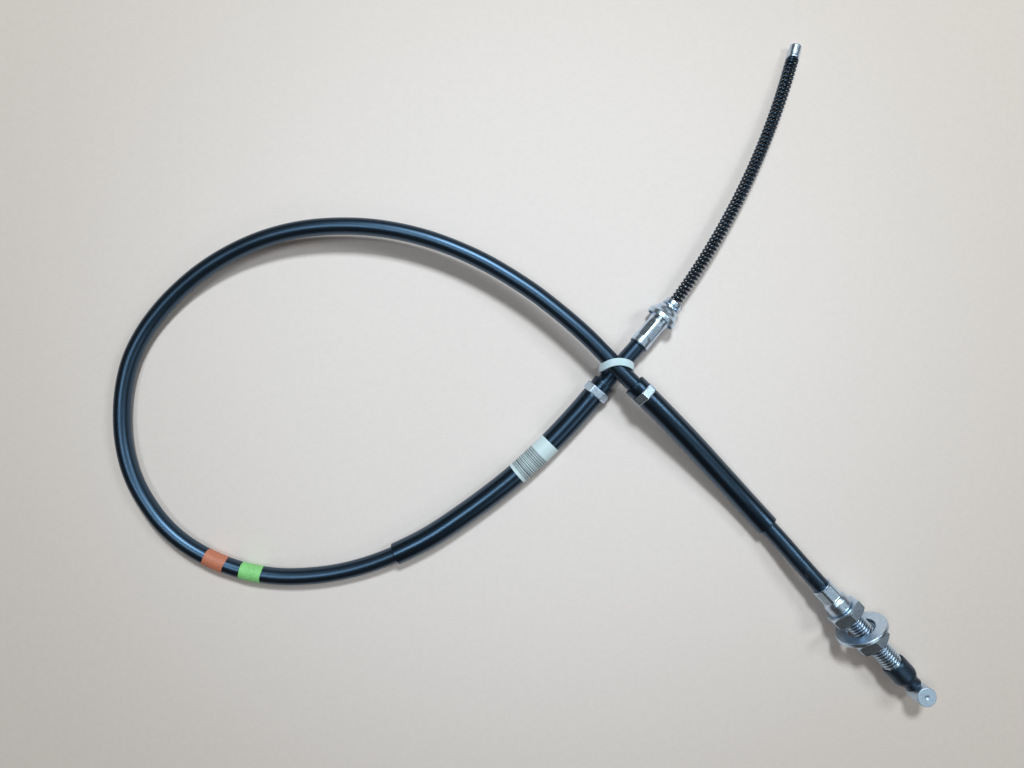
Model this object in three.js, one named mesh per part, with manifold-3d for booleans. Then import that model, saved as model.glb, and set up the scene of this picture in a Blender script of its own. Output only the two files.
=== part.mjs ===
// Parking brake cable: a sheathed wire cable that lies in one loop and crosses over itself.
// One end has a threaded adjuster with two nuts, a washer, a rubber boot and a barrel end,
// for the hand lever. The other has a crimped fitting, a return spring and a button, for the wheel.
// Millimetres, +Z up, lying on the plane z = 0.

import * as THREE from 'three';
import * as BufferGeometryUtils from 'three/addons/utils/BufferGeometryUtils.js';
import Module from 'manifold-3d';

const wasm = await Module();
wasm.setup();

// Clearances
const gap = 0.3;
const hoseGap = 0.45;

// Small edge breaks of turned pieces, and the facets of round pieces
const edge = 0.4;
const turnedSides = 18;
const toolSides = 16;
const nutSides = 24;
const washerSides = 32;

// Conduit: jacket, wound armour, liner and the wire in it, as diameters
const wireDiameter = 3.4;
const linerWall = 0.45;
const armourWall = 0.8;
const jacketDiameter = 9.9;
const jacketWall = 1.1;
const jacketSqueeze = 0.55;
const conduitSteps = 52;
const crossingSamples = 400;
const jacketSides = 8;
const armourSides = 6;
const linerSides = 6;
const wireSides = 6;

// Route of the conduit between the mouths of its two end fittings, from the wheel end to the lever end
const conduitRoute = [
  [68.2, 16.2, 9.1], [61.8, 8.9, 8.8], [55.2, 1.6, 8.4], [50.3, -3.9, 8.1], [38.4, -17.7, 7.4],
  [24.9, -32.2, 7.2], [10.6, -46.2, 7.15], [-7, -61, 7.15], [-28, -76.6, 7.15], [-48.3, -90, 7.1],
  [-63.3, -97.8, 6.9], [-77.9, -104.2, 6.3], [-93.1, -109.1, 5.9], [-107.9, -112.2, 5.8],
  [-122.7, -113.7, 5.8], [-137.6, -113.8, 5.8], [-153, -111.8, 5.8], [-166, -108.2, 5.8],
  [-179.1, -102.9, 5.8], [-193.9, -94.1, 5.8], [-206.1, -83.3, 5.8], [-214.9, -71.9, 5.8],
  [-222.2, -59.3, 5.8], [-226.9, -46.8, 5.8], [-229.9, -32, 5.8], [-230.6, -15.4, 5.8],
  [-229.1, 0, 5.8], [-225, 15.4, 5.9], [-217.5, 30.2, 6.2], [-207.7, 43.2, 6.8], [-195.4, 55.6, 7.8],
  [-180.4, 67.2, 9.3], [-163, 77.2, 11], [-143.1, 85, 13], [-122.4, 89.7, 14.5], [-99, 91.4, 15.6],
  [-74.5, 89.7, 16.2], [-47.2, 83.4, 16.8], [-18, 71.4, 17.3], [8.8, 55.3, 17.9], [26.2, 42.1, 18.5],
  [41.9, 28.4, 19.1], [51.7, 18.6, 19.4], [60.2, 9.6, 19.5], [68.3, 1.4, 19.4], [75.9, -6, 19],
  [87.3, -17.1, 17.6], [103.2, -33.1, 14.6], [119.1, -49.9, 11.3], [129.1, -60.5, 9.4],
  [138.2, -70.4, 8.4], [148.3, -81.5, 8.5], [157.8, -92.2, 10.1], [167, -103.2, 12.4],
];

// Wheel-end fitting, from its mouth on the conduit to its collar
const fittingMouth = [75.2, 22.2, 9.3];
const fittingHeading = 54;
const fittingLength = 31.5;
const fittingBodyDiameter = 11.5;
const fittingBodyLength = 17.6;
const fittingBodyFlare = 0.5;
const flangeDiameter = 18.4;
const flangeStart = 18.7;
const flangeRim = 3.6;
const flangeCupDepth = 1.3;
const flangeCupWall = 1.1;
const flangeRimBevel = 1.3;
const coneEnd = 26.9;
const coneEndDiameter = 12.2;
const coneShoulder = 1.8;
const coneShoulderRise = 0.9;
const clipGrooveStart = 27.4;
const clipGrooveWidth = 1.5;
const clipGrooveDiameter = 8.9;
const collarDiameter = 10.4;
const springSeatDepth = 4;
const fittingCrimpStart = 4.5;
const fittingCrimpEnd = 14;
const fittingCrimpFlats = 10.7;
const fittingCrimpTurn = 12;
const conduitInsertion = 14;
const clipWidth = 0.9;
const clipDiameter = 11.4;
const clipOpening = 62;

// Spring stretch: the wire leaves the collar on a flat, slightly drooping arc
const arcRadius = 450;
const arcDroop = 9.6;
const springWire = 1;
const springDiameter = 7.4;
const springLength = 161.5;
const springCoils = 64;
const springEndCoils = 1.5;
const springEndPitch = 1.4;
const springStepsPerCoil = 6;
const springSides = 4;
const buttonDiameter = 7.2;
const buttonLength = 8;
const buttonChamfer = 0.8;
const buttonBoreDepth = 6;
const wheelWireSteps = 12;

// Adjuster, from its ferrule's mouth on the conduit to the end of its thread
const adjusterMouth = [179.3, -117.3, 14];
const adjusterHeading = -46.9;
const ferruleDiameter = 12.2;
const ferruleCrimpStart = 1.2;
const ferruleCrimpEnd = 9.6;
const ferruleCrimpFlats = 11.2;
const ferruleCrimpTurn = 20;
const ferruleInsertion = 12;
const adjusterCollarStart = 11.2;
const adjusterCollarEnd = 17.3;
const adjusterCollarDiameter = 14.6;
const threadDiameter = 12;
const threadEnd = 61.7;
const threadChamfer = 0.8;
const adjusterBore = 4.6;
const adjusterCollarBevel = 0.6;
const nutFlats = 19;
const nutThickness = 7;
const nutChamfer = 1.1;
const outerNutStart = 38.7;
const washerDiameter = 30;
const washerHole = 15.4;
const washerThickness = 2.4;
const washerBevel = 0.8;
const washerCentre = 34;
const washerRise = 1.1;
const washerYaw = 14;
const washerLean = 8;

// Boot and barrel end
const bootStart = 59.4;
const bootLip = 1.6;
const bootDiameter = 14.2;
const bootSkirtEnd = 67;
const bootWall = 1.9;
const bootTaperEnd = 74.6;
const bootTaperDiameter = 10.8;
const bootNeckDiameter = 8.2;
const bootNeckEnd = 79.1;
const bootBead = 0.35;
const bootShoulder = 2.6;
const bootShoulderRise = 0.9;
const barrelCentre = 84.9;
const barrelDiameter = 11.1;
const barrelHeight = 14;
const barrelChamfer = 0.5;
const barrelDimple = 0.7;
const leverWireStart = 13;

// Protective hoses over the conduit, with their crimped rings, as distances from the fitting's mouth
const hoseDiameter = 13.2;
const hoseSides = 10;
const hoseStep = 16;
const wheelHoseStart = 29;
const wheelHoseEnd = 184.5;
const wheelRingCentre = 36.3;
const leverHoseStart = 795.6;
const leverHoseEnd = 929;
const leverRingCentre = 806;
const ringWidth = 4.9;
const ringFlats = 13.7;
const wheelRingTurn = 30;
const leverRingTurn = 8;
const ringWall = 0.45;
const ringGrooveDepth = 0.5;
const labelStart = 76.5;
const labelEnd = 103.5;
const labelWall = 0.25;
const labelRecess = 0.35;
const labelSides = 16;

// Coloured bands and the tie at the crossing
const bandWall = 0.35;
const bandWidth = 13;
const bandSides = 12;
const greenBandCentre = 277;
const orangeBandCentre = 299.5;
const tieHeading = 2.2;
const tieWidth = 4.2;
const tieWall = 1.1;
const tieHalfSpan = 9.4;
const tieFlat = 2;

const radians = THREE.MathUtils.degToRad;
const vector = (values) => new THREE.Vector3(...values);
const headingVector = (degrees) => new THREE.Vector3(Math.cos(radians(degrees)), Math.sin(radians(degrees)), 0);

// Values that follow from the sizes above
const wireRadius = wireDiameter / 2;
const linerInner = wireRadius + gap;
const linerOuter = linerInner + linerWall;
const armourInner = linerOuter + gap;
const armourOuter = armourInner + armourWall;
const jacketOuter = jacketDiameter / 2;
const jacketInner = jacketOuter - jacketWall;
const squeezedJacket = jacketOuter - jacketSqueeze;
const ferruleBore = squeezedJacket + gap;
const hoseOuter = hoseDiameter / 2;
const hoseInner = jacketOuter + hoseGap;

const fittingAxis = headingVector(fittingHeading);
const fittingPoint = vector(fittingMouth);
const adjusterAxis = headingVector(adjusterHeading);
const adjusterPoint = vector(adjusterMouth);
const alongFitting = (distance) => fittingPoint.clone().addScaledVector(fittingAxis, distance);
const alongAdjuster = (distance) => adjusterPoint.clone().addScaledVector(adjusterAxis, distance);

// Materials
const finish = (color, roughness, metalness) => new THREE.MeshStandardMaterial({ color, roughness, metalness });
const zinc = finish(0xb8c6d0, 0.3, 1);
const blackJacket = finish(0x15181f, 0.35, 0);
const blackRubber = finish(0x111214, 0.55, 0);
const springSteel = finish(0x0d0e10, 0.35, 0.6);
const steel = finish(0x7d8288, 0.45, 1);
const nylon = finish(0xe6e2d4, 0.5, 0);
const paleTie = finish(0xdfeaf0, 0.35, 0);
const labelFilm = finish(0xcfe3ea, 0.5, 0);
const orangeTape = finish(0xc8785a, 0.55, 0);
const greenTape = finish(0x8fdc84, 0.55, 0);

// Geometry helpers

// Merges shared vertices, drops triangles of no area and turns the faces outwards.
function solid(geometry) {
  const bare = geometry.clone();
  bare.deleteAttribute('normal');
  bare.deleteAttribute('uv');
  const merged = BufferGeometryUtils.mergeVertices(bare, 1e-4);
  const position = merged.attributes.position;
  const index = merged.index.array;
  const kept = [];
  const [a, b, c] = [new THREE.Vector3(), new THREE.Vector3(), new THREE.Vector3()];
  let volume = 0;
  for (let i = 0; i < index.length; i += 3) {
    const [p, q, r] = [index[i], index[i + 1], index[i + 2]];
    if (p === q || q === r || r === p) continue;
    kept.push(p, q, r);
    a.fromBufferAttribute(position, p);
    b.fromBufferAttribute(position, q);
    c.fromBufferAttribute(position, r);
    volume += a.dot(b.cross(c));
  }
  if (volume < 0) kept.reverse();
  merged.setIndex(kept);
  return merged;
}

function toManifold(geometry) {
  const closed = solid(geometry);
  return new wasm.Manifold(new wasm.Mesh({
    numProp: 3,
    vertProperties: Float32Array.from(closed.attributes.position.array),
    triVerts: Uint32Array.from(closed.index.array),
  }));
}

function fromManifold(body) {
  const mesh = body.getMesh();
  const geometry = new THREE.BufferGeometry();
  geometry.setAttribute('position', new THREE.BufferAttribute(mesh.vertProperties, 3));
  geometry.setIndex(new THREE.BufferAttribute(mesh.triVerts, 1));
  return geometry;
}

function cut(geometry, ...tools) {
  const body = tools.reduce((left, tool) => left.subtract(toManifold(tool)), toManifold(geometry));
  return fromManifold(body);
}

function common(geometry, other) {
  return fromManifold(toManifold(geometry).intersect(toManifold(other)));
}

// A solid of revolution about +Z. The profile is a list of [radius, z] corners.
function revolve(profile, sides, closed = false) {
  const points = profile.map(([radius, z]) => new THREE.Vector2(radius, z));
  if (closed) points.push(points[0].clone());
  return new THREE.LatheGeometry(points, sides).rotateX(Math.PI / 2);
}

function rod(radius, from, to, sides) {
  return revolve([[0, from], [radius, from], [radius, to], [0, to]], sides);
}

function sleeve(inner, outer, from, to, sides) {
  return revolve([[inner, from], [outer, from], [outer, to], [inner, to]], sides, true);
}

// A hexagonal prism about +Z with one corner on +X, or one flat on +X when it is turned by 30 degrees.
function hexagon(flats, from, to, turn = 0) {
  const radius = flats / Math.sqrt(3);
  const prism = new THREE.CylinderGeometry(radius, radius, to - from, 6);
  return prism.rotateX(Math.PI / 2).rotateZ(Math.PI / 6 + radians(turn)).translate(0, 0, (from + to) / 2);
}

// What a six-sided crimping die presses away from a round body between two places on its axis.
function crimpTool(flats, from, to, turn = 0) {
  return cut(rod(flats, from, to, 6), hexagon(flats, from - 1, to + 1, turn));
}

function polygon(radius, sides, path) {
  for (let i = 0; i < sides; i += 1) {
    const angle = (2 * Math.PI * i) / sides;
    const [x, y] = [radius * Math.cos(angle), radius * Math.sin(angle)];
    if (i === 0) path.moveTo(x, y);
    else path.lineTo(x, y);
  }
  path.closePath();
  return path;
}

// A ring section whose inner flats, not its inner corners, lie at the inner radius.
function ringSection(inner, outer, sides) {
  const shape = polygon(outer, sides, new THREE.Shape());
  shape.holes.push(polygon(inner / Math.cos(Math.PI / sides), sides, new THREE.Path()));
  return shape;
}

function sweep(shape, path, steps) {
  return new THREE.ExtrudeGeometry(shape, { steps, extrudePath: path, bevelEnabled: false });
}

// Turns an object so that its own +Z points along a direction and its +X points up.
function place(object, point, direction) {
  const up = new THREE.Vector3(0, 0, 1).addScaledVector(direction, -direction.z).normalize();
  const side = new THREE.Vector3().crossVectors(direction, up);
  object.quaternion.setFromRotationMatrix(new THREE.Matrix4().makeBasis(up, side, direction));
  object.position.copy(point);
  return object;
}

function piece(name, geometry, material) {
  const mesh = new THREE.Mesh(solid(geometry), material);
  mesh.geometry.computeVertexNormals();
  mesh.name = name;
  return mesh;
}

// Curves

// A part of a longer curve, between two distances along it.
class Stretch extends THREE.Curve {
  constructor(curve, from, to) {
    super();
    this.curve = curve;
    this.from = from / curve.getLength();
    this.to = to / curve.getLength();
  }

  getPoint(t, target = new THREE.Vector3()) {
    return this.curve.getPointAt(THREE.MathUtils.lerp(this.from, this.to, t), target);
  }
}

// The arc of the spring stretch. Distances are measured from the collar's mouth.
const arcStart = alongFitting(fittingLength);
const arcLeft = new THREE.Vector3(-fittingAxis.y, fittingAxis.x, 0)
  .multiplyScalar(Math.cos(radians(arcDroop)))
  .add(new THREE.Vector3(0, 0, -Math.sin(radians(arcDroop))));
const arcNormal = new THREE.Vector3().crossVectors(fittingAxis, arcLeft);

function arcPoint(distance) {
  const angle = distance / arcRadius;
  return arcStart.clone()
    .addScaledVector(arcLeft, arcRadius * (1 - Math.cos(angle)))
    .addScaledVector(fittingAxis, arcRadius * Math.sin(angle));
}

function arcTangent(distance) {
  const angle = distance / arcRadius;
  return fittingAxis.clone().multiplyScalar(Math.cos(angle)).addScaledVector(arcLeft, Math.sin(angle));
}

class ArcCurve extends THREE.Curve {
  constructor(from, to) {
    super();
    this.from = from;
    this.to = to;
  }

  getPoint(t, target = new THREE.Vector3()) {
    return target.copy(arcPoint(THREE.MathUtils.lerp(this.from, this.to, t)));
  }
}

// The spring's helix round the arc, with closer coils at both ends.
class SpringCurve extends THREE.Curve {
  constructor(from, to, radius) {
    super();
    this.from = from;
    this.radius = radius;
    this.openPitch = (to - from - 2 * springEndCoils * springEndPitch) / (springCoils - 2 * springEndCoils);
  }

  advance(turns) {
    const firstTurns = Math.min(turns, springEndCoils);
    const lastTurns = Math.max(0, turns - springCoils + springEndCoils);
    const openTurns = turns - firstTurns - lastTurns;
    return (firstTurns + lastTurns) * springEndPitch + openTurns * this.openPitch;
  }

  getPoint(t, target = new THREE.Vector3()) {
    const turns = t * springCoils;
    const distance = this.from + this.advance(turns);
    const outward = arcTangent(distance).cross(arcNormal);
    const angle = 2 * Math.PI * turns;
    return target.copy(arcPoint(distance))
      .addScaledVector(outward, this.radius * Math.cos(angle))
      .addScaledVector(arcNormal, this.radius * Math.sin(angle));
  }
}

const conduitCurve = new THREE.CatmullRomCurve3([
  alongFitting(conduitInsertion),
  alongFitting(0),
  ...conduitRoute.map(vector),
  alongAdjuster(0),
  alongAdjuster(ferruleInsertion),
], false, 'centripetal');
conduitCurve.arcLengthDivisions = 3000;
const conduitLength = conduitCurve.getLength();

// A stretch of the conduit between two distances from the fitting's mouth.
const onConduit = (from, to) => new Stretch(conduitCurve, from + conduitInsertion, to + conduitInsertion);

function conduitFrame(distance) {
  const position = (distance + conduitInsertion) / conduitLength;
  return { point: conduitCurve.getPointAt(position), direction: conduitCurve.getTangentAt(position) };
}

function findCrossing() {
  const points = conduitCurve.getSpacedPoints(crossingSamples);
  for (let i = 1; i < points.length; i += 1) {
    for (let j = i + 2; j < points.length; j += 1) {
      const [a, b, c, d] = [points[i - 1], points[i], points[j - 1], points[j]];
      const across = (b.x - a.x) * (d.y - c.y) - (b.y - a.y) * (d.x - c.x);
      const t = ((c.x - a.x) * (d.y - c.y) - (c.y - a.y) * (d.x - c.x)) / across;
      const u = ((c.x - a.x) * (b.y - a.y) - (c.y - a.y) * (b.x - a.x)) / across;
      if (t < 0 || t > 1 || u < 0 || u > 1) continue;
      const first = a.clone().lerp(b, t);
      const second = c.clone().lerp(d, u);
      return { x: first.x, y: first.y, lower: Math.min(first.z, second.z), upper: Math.max(first.z, second.z) };
    }
  }
  throw new Error('the conduit does not pass over itself');
}

// A tool shaped about +Z, moved to a place on the conduit.
function onConduitAt(geometry, distance) {
  const { point, direction } = conduitFrame(distance);
  const holder = place(new THREE.Object3D(), point, direction);
  holder.updateMatrix();
  return geometry.applyMatrix4(holder.matrix);
}

// Sub-parts

function jacket() {
  const tube = sweep(ringSection(jacketInner, jacketOuter, jacketSides), conduitCurve, conduitSteps);
  const press = (from, to) => sleeve(squeezedJacket, ferruleDiameter, from, to, toolSides);
  const wheelPress = press(0, conduitInsertion + 1);
  const leverPress = press(0, ferruleInsertion + 1);
  const fitting = place(new THREE.Object3D(), fittingPoint, fittingAxis);
  const adjuster = place(new THREE.Object3D(), adjusterPoint, adjusterAxis);
  fitting.updateMatrix();
  adjuster.updateMatrix();
  wheelPress.applyMatrix4(fitting.matrix);
  leverPress.applyMatrix4(adjuster.matrix);
  return piece('conduit_jacket', cut(tube, wheelPress, leverPress), blackJacket);
}

function armour() {
  const section = ringSection(armourInner, armourOuter, armourSides);
  return piece('conduit_armour', sweep(section, conduitCurve, conduitSteps), steel);
}

// The liner and the wire's middle stop two steps short of the fitting, which leaves the wire room to travel.
const freeSteps = 2;
const innerStretch = new Stretch(conduitCurve, (conduitLength * freeSteps) / conduitSteps, conduitLength);

function liner() {
  const section = ringSection(linerInner, linerOuter, linerSides);
  return piece('conduit_liner', sweep(section, innerStretch, conduitSteps - freeSteps), nylon);
}

function middleWire() {
  const section = polygon(wireRadius, wireSides, new THREE.Shape());
  return piece('inner_wire', sweep(section, innerStretch, conduitSteps - freeSteps), steel);
}

function crimpRing(name, centre, turn) {
  const half = ringWidth / 2;
  const inner = hoseOuter - ringGrooveDepth + gap;
  const flats = Math.max(ringFlats, 2 * (inner + ringWall));
  const outside = hexagon(flats, -half, half, turn);
  const ring = piece(name, cut(outside, rod(inner, -half - 1, half + 1, toolSides)), zinc);
  const { point, direction } = conduitFrame(centre);
  return place(ring, point, direction);
}

function hose(name, from, to, ringCentre, labelled) {
  const steps = Math.round((to - from) / hoseStep);
  const tube = sweep(ringSection(hoseInner, hoseOuter, hoseSides), onConduit(from, to), steps);
  const half = ringWidth / 2 + gap;
  const ringGroove = sleeve(hoseOuter - ringGrooveDepth, hoseDiameter, -half, half, toolSides);
  const tools = [onConduitAt(ringGroove, ringCentre)];
  if (labelled) {
    const recess = ringSection(hoseOuter - labelRecess, hoseDiameter, labelSides);
    tools.push(sweep(recess, onConduit(labelStart - gap, labelEnd + gap), 3));
  }
  return piece(name, cut(tube, ...tools), blackRubber);
}

function label() {
  const inner = hoseOuter - labelRecess + gap;
  const section = ringSection(inner, inner + labelWall + gap, labelSides);
  return piece('hose_label', sweep(section, onConduit(labelStart, labelEnd), 3), labelFilm);
}

function band(name, centre, material) {
  const inner = jacketOuter + gap;
  const section = ringSection(inner, inner + bandWall, bandSides);
  return piece(name, sweep(section, onConduit(centre - bandWidth / 2, centre + bandWidth / 2), 3), material);
}

// The tie is a closed strap round both branches, in the upright plane that halves their angle.
function crossingTie() {
  const lower = crossing.lower;
  const upper = crossing.upper;
  const reach = jacketOuter + gap;
  const outline = (grow, path) => {
    const [top, bottom] = [upper, lower];
    const [wide, high] = [tieHalfSpan - tieFlat + grow, reach + grow];
    path.moveTo(tieFlat + wide, bottom);
    path.lineTo(tieFlat + wide, top);
    path.absellipse(tieFlat, top, wide, high, 0, Math.PI / 2, false);
    path.lineTo(-tieFlat, top + high);
    path.absellipse(-tieFlat, top, wide, high, Math.PI / 2, Math.PI, false);
    path.lineTo(-tieFlat - wide, bottom);
    path.absellipse(-tieFlat, bottom, wide, high, Math.PI, 1.5 * Math.PI, false);
    path.lineTo(tieFlat, bottom - high);
    path.absellipse(tieFlat, bottom, wide, high, 1.5 * Math.PI, 2 * Math.PI, false);
    return path;
  };
  const shape = outline(tieWall, new THREE.Shape());
  shape.holes.push(outline(0, new THREE.Path()));
  const strap = new THREE.ExtrudeGeometry(shape, { depth: tieWidth, bevelEnabled: false, curveSegments: 4 });
  strap.translate(0, 0, -tieWidth / 2).rotateX(Math.PI / 2);
  const mesh = piece('crossing_tie', strap, paleTie);
  mesh.rotation.z = radians(tieHeading);
  mesh.position.set(crossing.x, crossing.y, 0);
  return mesh;
}

function fitting() {
  const body = fittingBodyDiameter / 2;
  const flange = flangeDiameter / 2;
  const rimEnd = flangeStart + flangeRim;
  const cone = coneEndDiameter / 2;
  const collar = collarDiameter / 2;
  const groove = clipGrooveDiameter / 2;
  const grooveEnd = clipGrooveStart + clipGrooveWidth;
  const seat = springDiameter / 2 + gap;
  const seatStart = fittingLength - springSeatDepth;
  const cupEnd = flangeStart + flangeCupDepth;
  const profile = [
    [ferruleBore, 0], [body - edge, 0], [body, edge], [body, fittingBodyLength],
    [body + fittingBodyFlare, cupEnd], [flange - flangeCupWall, cupEnd],
    [flange - flangeCupWall, flangeStart], [flange - edge, flangeStart], [flange, flangeStart + edge],
    [flange, rimEnd - flangeRimBevel], [flange - edge, rimEnd - edge], [flange - flangeRimBevel, rimEnd],
    [cone + coneShoulderRise, coneEnd - coneShoulder], [cone, coneEnd - edge], [cone - edge, coneEnd],
    [collar, coneEnd], [collar, clipGrooveStart], [groove, clipGrooveStart], [groove, grooveEnd],
    [collar, grooveEnd], [collar, fittingLength - edge], [collar - edge, fittingLength],
    [seat, fittingLength], [seat, seatStart], [armourInner, seatStart],
    [armourInner, conduitInsertion + gap], [ferruleBore, conduitInsertion + gap],
  ];
  const turned = revolve(profile, turnedSides, true);
  const die = crimpTool(fittingCrimpFlats, fittingCrimpStart, fittingCrimpEnd, fittingCrimpTurn);
  const crimped = cut(turned, die);
  return piece('backplate_fitting', crimped, zinc);
}

// An open ring that sits in the fitting's groove, with its opening on top.
function clip() {
  const inner = clipGrooveDiameter / 2 + gap;
  const outer = clipDiameter / 2;
  const half = radians(clipOpening / 2);
  const shape = new THREE.Shape();
  shape.absarc(0, 0, outer, half, 2 * Math.PI - half, false);
  shape.absarc(0, 0, inner, 2 * Math.PI - half, half, true);
  shape.closePath();
  const ring = new THREE.ExtrudeGeometry(shape, { depth: clipWidth, bevelEnabled: false, curveSegments: 10 });
  ring.translate(0, 0, clipGrooveStart + (clipGrooveWidth - clipWidth) / 2);
  return piece('fitting_clip', ring, zinc);
}

const springStart = gap - springSeatDepth;
const springEnd = springStart + springLength;
const buttonBase = springEnd + gap + springWire / 2;

function spring() {
  const radius = (springDiameter - springWire) / 2;
  const curve = new SpringCurve(springStart + springWire / 2, springEnd, radius);
  curve.arcLengthDivisions = springCoils * 24;
  const section = polygon(springWire / 2, springSides, new THREE.Shape());
  return piece('return_spring', sweep(section, curve, springCoils * springStepsPerCoil), springSteel);
}

// The wheel end of the wire starts inside the fitting, deep enough to stay in it at full travel.
const wheelWireStart = -springSeatDepth - gap;

function wheelWire() {
  const end = buttonBase + buttonBoreDepth - gap;
  const section = polygon(wireRadius, 8, new THREE.Shape());
  return piece('wheel_wire', sweep(section, new ArcCurve(wheelWireStart, end), wheelWireSteps), springSteel);
}

function button() {
  const outer = buttonDiameter / 2;
  const bore = wireRadius + gap;
  const profile = [
    [bore, 0], [outer - edge, 0], [outer, edge], [outer, buttonLength - buttonChamfer],
    [outer - buttonChamfer, buttonLength], [0, buttonLength], [0, buttonBoreDepth], [bore, buttonBoreDepth],
    [bore, 0],
  ];
  const turned = piece('wheel_button', revolve(profile, turnedSides), zinc);
  return place(turned, arcPoint(buttonBase), arcTangent(buttonBase));
}

function adjuster() {
  const ferrule = ferruleDiameter / 2;
  const collar = adjusterCollarDiameter / 2;
  const thread = threadDiameter / 2;
  const bore = adjusterBore / 2;
  const boreStart = ferruleInsertion + gap;
  const profile = [
    [ferruleBore, 0], [ferrule - edge, 0], [ferrule, edge], [ferrule, ferruleCrimpEnd],
    [collar - edge, adjusterCollarStart], [collar, adjusterCollarStart + adjusterCollarBevel],
    [collar, adjusterCollarEnd - edge], [collar - edge, adjusterCollarEnd],
    [thread, adjusterCollarEnd], [thread, threadEnd - threadChamfer], [thread - threadChamfer, threadEnd],
    [bore, threadEnd], [bore, boreStart], [ferruleBore, boreStart],
  ];
  const turned = revolve(profile, turnedSides, true);
  const die = crimpTool(ferruleCrimpFlats, ferruleCrimpStart, ferruleCrimpEnd, ferruleCrimpTurn);
  const crimped = cut(turned, die);
  return piece('adjuster', crimped, zinc);
}

function nut(name, start) {
  const corner = nutFlats / Math.sqrt(3);
  const flat = nutFlats / 2 - edge / 2;
  const blank = hexagon(nutFlats, 0, nutThickness);
  const turned = revolve([
    [0, 0], [flat, 0], [corner + edge, nutChamfer], [corner + edge, nutThickness - nutChamfer],
    [flat, nutThickness], [0, nutThickness],
  ], nutSides);
  const bore = rod(threadDiameter / 2 + gap, -1, nutThickness + 1, toolSides);
  const bored = cut(common(blank, turned), bore);
  const mesh = piece(name, bored, zinc);
  mesh.position.z = start;
  return mesh;
}

// The washer hangs loose on the thread: it stands on the floor and leans on the outer nut.
function washer() {
  const outer = washerDiameter / 2;
  const hole = washerHole / 2;
  const half = washerThickness / 2;
  const profile = [
    [hole + washerBevel, -half], [outer - edge, -half], [outer, edge - half], [outer, half], [hole, half],
    [hole, washerBevel - half],
  ];
  const mesh = piece('plain_washer', revolve(profile, washerSides, true), zinc);
  mesh.rotation.set(-radians(washerYaw), -radians(washerLean), 0, 'XYZ');
  mesh.position.set(washerRise, 0, washerCentre);
  return mesh;
}

function boot() {
  const outer = bootDiameter / 2;
  const thread = threadDiameter / 2 + gap;
  const taper = bootTaperDiameter / 2;
  const neck = bootNeckDiameter / 2;
  const bore = wireRadius + gap;
  const profile = [
    [thread, bootStart], [outer - edge, bootStart], [outer, bootStart + bootLip], [outer, bootSkirtEnd],
    [taper + bootShoulderRise, bootTaperEnd - bootShoulder], [taper, bootTaperEnd - 2 * edge],
    [taper - bootShoulderRise, bootTaperEnd], [neck, bootTaperEnd + edge], [neck, bootNeckEnd - 3 * edge],
    [neck + bootBead, bootNeckEnd - edge], [neck, bootNeckEnd], [bore, bootNeckEnd],
    [bore, bootTaperEnd - edge], [taper - bootWall, bootTaperEnd - bootShoulder],
    [outer - bootWall, bootSkirtEnd], [thread, threadEnd + gap],
  ];
  return piece('lever_boot', revolve(profile, turnedSides, true), blackRubber);
}

function leverWire() {
  const length = barrelCentre - leverWireStart;
  const mesh = piece('lever_wire', rod(wireRadius, 0, length, 10), steel);
  mesh.position.z = leverWireStart;
  return mesh;
}

// The barrel's axis is upright; the wire enters it from the side.
function barrel() {
  const radius = barrelDiameter / 2;
  const half = barrelHeight / 2;
  const body = revolve([
    [0, -half], [radius - barrelChamfer, -half], [radius, -half + barrelChamfer], [radius, half - barrelChamfer],
    [radius - barrelChamfer, half], [2 * barrelDimple, half], [0, half - barrelDimple],
  ], nutSides);
  body.rotateY(Math.PI / 2);
  const bore = rod(wireRadius + gap, -radius - 1, gap, toolSides);
  const mesh = piece('barrel_end', cut(body, bore), zinc);
  mesh.position.z = barrelCentre;
  return mesh;
}

// Where the conduit passes over itself, seen from above, and the heights of its two branches there.
const crossing = findCrossing();

const fittingGroup = place(new THREE.Group(), fittingPoint, fittingAxis);
fittingGroup.add(fitting(), clip());

const adjusterGroup = place(new THREE.Group(), adjusterPoint, adjusterAxis);
adjusterGroup.add(
  adjuster(),
  nut('inner_nut', adjusterCollarEnd + gap),
  nut('outer_nut', outerNutStart),
  washer(),
  boot(),
  leverWire(),
  barrel(),
);

const layout = new THREE.Group();
layout.add(
  jacket(),
  armour(),
  liner(),
  middleWire(),
  hose('wheel_hose', wheelHoseStart, wheelHoseEnd, wheelRingCentre, true),
  crimpRing('wheel_hose_ring', wheelRingCentre, wheelRingTurn),
  hose('lever_hose', leverHoseStart, leverHoseEnd, leverRingCentre, false),
  crimpRing('lever_hose_ring', leverRingCentre, leverRingTurn),
  label(),
  band('green_band', greenBandCentre, greenTape),
  band('orange_band', orangeBandCentre, orangeTape),
  crossingTie(),
  spring(),
  wheelWire(),
  button(),
  fittingGroup,
  adjusterGroup,
);

// The origin is the middle of the whole object's box, on the surface that it lies on.
layout.updateMatrixWorld(true);
const box = new THREE.Box3().setFromObject(layout, true);
const centre = box.getCenter(new THREE.Vector3());
layout.position.set(-centre.x, -centre.y, -box.min.z);

const brakeCable = new THREE.Group();
brakeCable.add(layout);

export default brakeCable;
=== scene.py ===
"""A parking brake cable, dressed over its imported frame: surfaces, finishes, floor, light and camera.

Lengths are in metres. A distance "along" a piece is measured on its own path: on the conduit and on the
fitting from the fitting's mouth, on the adjuster from its ferrule's mouth, on the spring from its arc's start.
"""

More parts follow.
